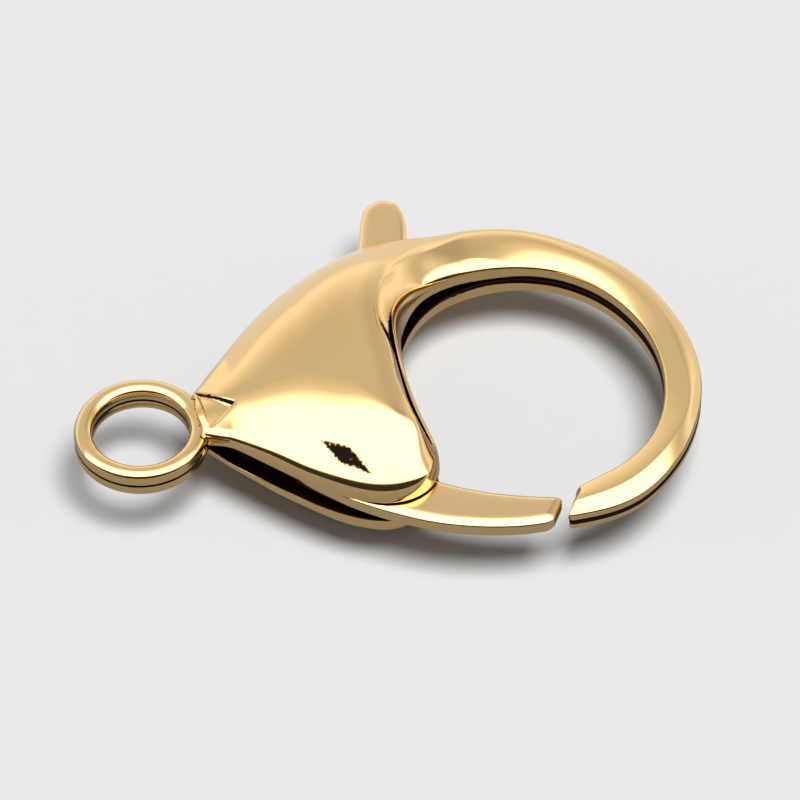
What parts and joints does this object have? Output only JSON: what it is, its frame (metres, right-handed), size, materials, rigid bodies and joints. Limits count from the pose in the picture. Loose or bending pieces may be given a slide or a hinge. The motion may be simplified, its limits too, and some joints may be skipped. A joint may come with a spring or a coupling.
{
  "type": "lobster clasp",
  "caption": "Stamped lobster clasp: a domed body with an eyelet, a curved hook and a sprung lever whose gate closes the ring and whose tab opens it.",
  "frame": {"origin": "centre of the eyelet's bore, on the seam plane between the two shells", "axes": "+X from the eyelet to the hook's far end, +Y to the side of the thumb tab, +Z square to the seam plane, along the bore"},
  "size_m": [0.026, 0.0191, 0.0066],
  "materials": {
    "shell": "polished, pale gold plating",
    "lever": "polished, pale gold plating",
    "pin": "plain turned steel, hidden"
  },
  "bodies": {
    "body": {"upper_shell": "shell", "lower_shell": "shell", "pivot_pin": "pin"},
    "lever": {"lever": "lever"}
  },
  "joints": [
    {"name": "lever_pivot", "type": "hinge", "parent": "body", "child": "lever", "pos_m": [0.00814, -0.00324, 0], "axis": [0, 0, 1], "range_deg": [0, 25], "stiffness_Nm_per_rad": 0.01, "springref_deg": -1.15}
  ]
}
